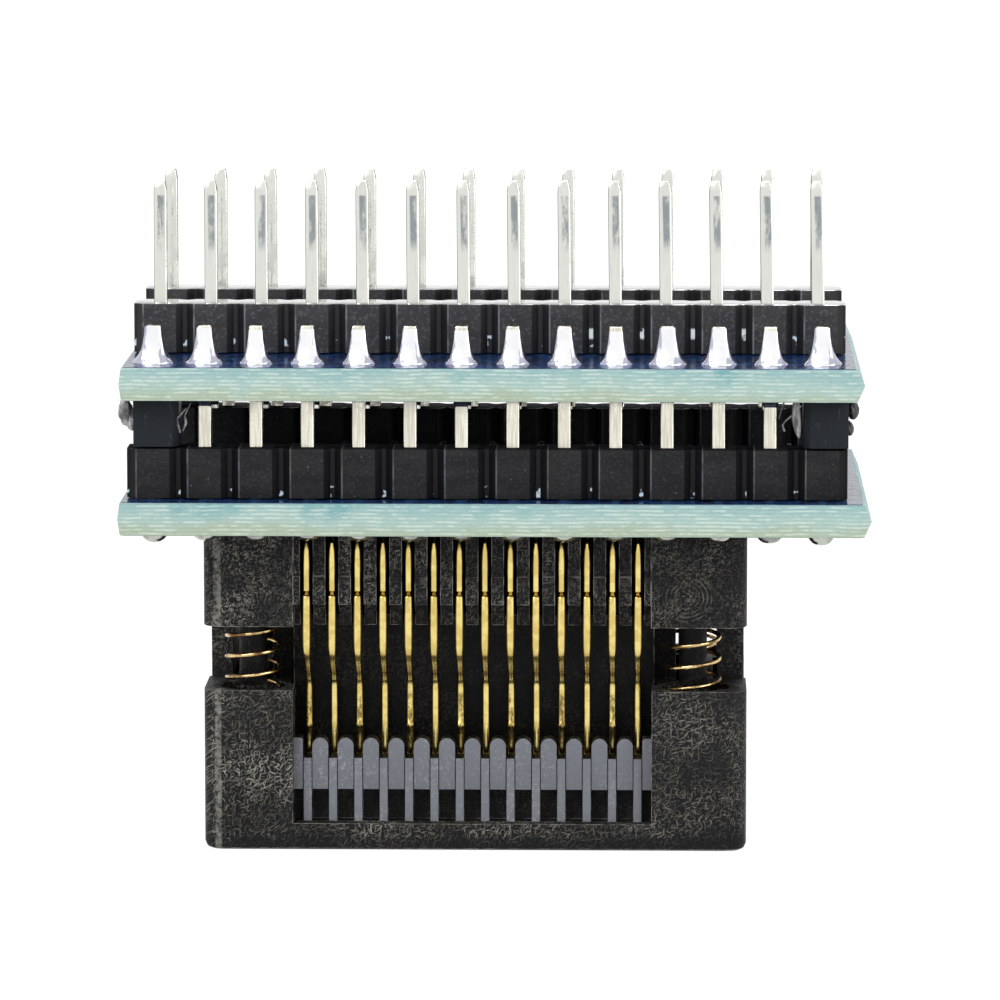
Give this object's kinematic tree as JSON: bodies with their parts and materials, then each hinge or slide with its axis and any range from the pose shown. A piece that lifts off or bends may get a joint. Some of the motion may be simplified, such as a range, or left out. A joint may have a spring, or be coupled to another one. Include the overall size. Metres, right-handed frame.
{
  "type": "ic programming adapter",
  "caption": "Pin-row adapter on stacked boards with a spring-loaded open-top test socket for a small-outline chip, standing pins up.",
  "frame": {"origin": "middle of the boards' outline in X and Y, on the outer face of the socket's cover, which the adapter stands on", "axes": "+X along the pin rows, +Y from the front long side to the rear, +Z from the socket's cover towards the long pins"},
  "size_m": [0.037, 0.0228, 0.0332],
  "materials": {
    "strip_plastic": "black moulded strip, satin",
    "link_strip_plastic": "black moulded strip, satin, with bright square pins",
    "spacer_plastic": "black moulded cube with torn flash on its outer side",
    "upper_board_laminate": "pale green glass-epoxy edge, dark blue lacquered faces",
    "lower_board_laminate": "pale green glass-epoxy edge, dark blue lacquered faces",
    "base_plastic": "black glass-filled plastic with pale fibre flecks",
    "cover_plastic": "black glass-filled plastic with pale fibre flecks",
    "contact_gold": "gold plate, satin",
    "spring_wire": "bright drawn wire, gold plated"
  },
  "bodies": {
    "adapter": {"long_pin_row_front": "strip_plastic", "long_pin_row_rear": "strip_plastic", "link_pin_row_front": "link_strip_plastic", "link_pin_row_rear": "link_strip_plastic", "spacer_front_left": "spacer_plastic", "spacer_front_right": "spacer_plastic", "spacer_rear_left": "spacer_plastic", "spacer_rear_right": "spacer_plastic", "upper_board": "upper_board_laminate", "lower_board": "lower_board_laminate", "socket_base": "base_plastic", "contact_front_01": "contact_gold", "contact_front_02": "contact_gold", "contact_front_03": "contact_gold", "contact_front_04": "contact_gold", "contact_front_05": "contact_gold", "contact_front_06": "contact_gold", "contact_front_07": "contact_gold", "contact_front_08": "contact_gold", "contact_front_09": "contact_gold", "contact_front_10": "contact_gold", "contact_front_11": "contact_gold", "contact_front_12": "contact_gold", "contact_front_13": "contact_gold", "contact_front_14": "contact_gold", "contact_rear_01": "contact_gold", "contact_rear_02": "contact_gold", "contact_rear_03": "contact_gold", "contact_rear_04": "contact_gold", "contact_rear_05": "contact_gold", "contact_rear_06": "contact_gold", "contact_rear_07": "contact_gold", "contact_rear_08": "contact_gold", "contact_rear_09": "contact_gold", "contact_rear_10": "contact_gold", "contact_rear_11": "contact_gold", "contact_rear_12": "contact_gold", "contact_rear_13": "contact_gold", "contact_rear_14": "contact_gold", "spring_front_left": "spring_wire", "spring_front_right": "spring_wire", "spring_rear_left": "spring_wire", "spring_rear_right": "spring_wire"},
    "cover": {"socket_cover": "cover_plastic"}
  },
  "joints": [
    {"name": "cover_press", "type": "slide", "parent": "adapter", "child": "cover", "axis": [0, 0, 1], "range_m": [0, 0.003], "stiffness_N_per_m": 1500, "springref_m": -0.003, "deforming": ["spring_front_left", "spring_front_right", "spring_rear_left", "spring_rear_right"]}
  ]
}
